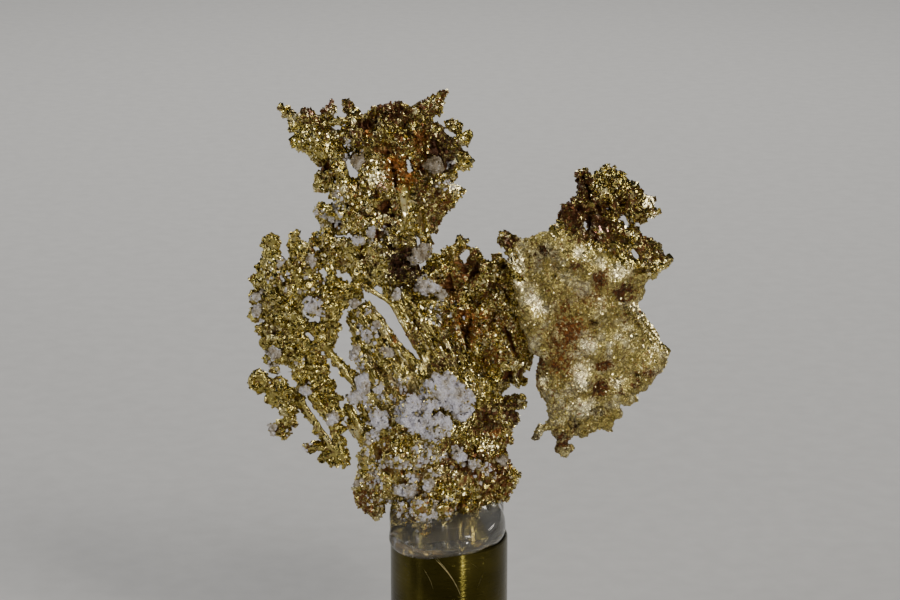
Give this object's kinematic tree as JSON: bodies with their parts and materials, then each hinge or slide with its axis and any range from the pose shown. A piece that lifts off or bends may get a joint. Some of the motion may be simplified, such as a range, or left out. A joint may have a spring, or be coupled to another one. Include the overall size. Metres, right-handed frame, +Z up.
{
  "type": "native gold specimen",
  "caption": "Branching spray of spongy leaf gold with white quartz lumps, held upright in clear putty on a short round brass display post.",
  "frame": {"origin": "centre of the brass post's flat foot", "axes": "+Z up along the post, +X to the specimen's right-hand leaf, -Y towards the side that shows the quartz"},
  "size_m": [0.0428, 0.0124, 0.063],
  "materials": {
    "native_gold": "bright crystal faces with brown iron stain in the hollows",
    "white_quartz": "sugary, satin",
    "clear_putty": "clear, glossy",
    "brass_bar": "polished, with fine scratches"
  },
  "bodies": {
    "root": {"brass_post": "brass_bar", "gold_trunk": "native_gold", "gold_left_leaf": "native_gold", "gold_upper_leaf": "native_gold", "gold_centre_leaf": "native_gold", "gold_right_leaf": "native_gold", "quartz_main": "white_quartz", "quartz_upper": "white_quartz", "quartz_rib_head": "white_quartz", "quartz_tower_foot": "white_quartz", "quartz_tower_back": "white_quartz", "quartz_tower_window": "white_quartz", "quartz_tower_left": "white_quartz", "quartz_tower_step": "white_quartz", "quartz_tower_seam": "white_quartz", "quartz_tower_low": "white_quartz", "quartz_mitten_heart": "white_quartz", "quartz_mitten_bridge": "white_quartz", "quartz_mitten_top": "white_quartz", "quartz_mitten_finger": "white_quartz", "quartz_mitten_edge_high": "white_quartz", "quartz_mitten_edge_low": "white_quartz", "quartz_mitten_palm": "white_quartz", "quartz_mitten_thumb": "white_quartz", "quartz_mitten_cuff": "white_quartz", "quartz_mitten_stem": "white_quartz", "quartz_rib_high": "white_quartz", "quartz_rib_ridge": "white_quartz", "quartz_rib_edge": "white_quartz", "quartz_rib_inner": "white_quartz", "quartz_rib_foot": "white_quartz", "quartz_flank": "white_quartz", "quartz_shoulder": "white_quartz", "quartz_left_patch": "white_quartz", "quartz_left_edge": "white_quartz", "quartz_mid_high": "white_quartz", "quartz_mid_low": "white_quartz", "quartz_right_patch": "white_quartz", "quartz_low_high": "white_quartz", "quartz_low_middle": "white_quartz", "quartz_low_left": "white_quartz", "quartz_foot": "white_quartz", "clear_putty": "clear_putty"}
  },
  "joints": []
}
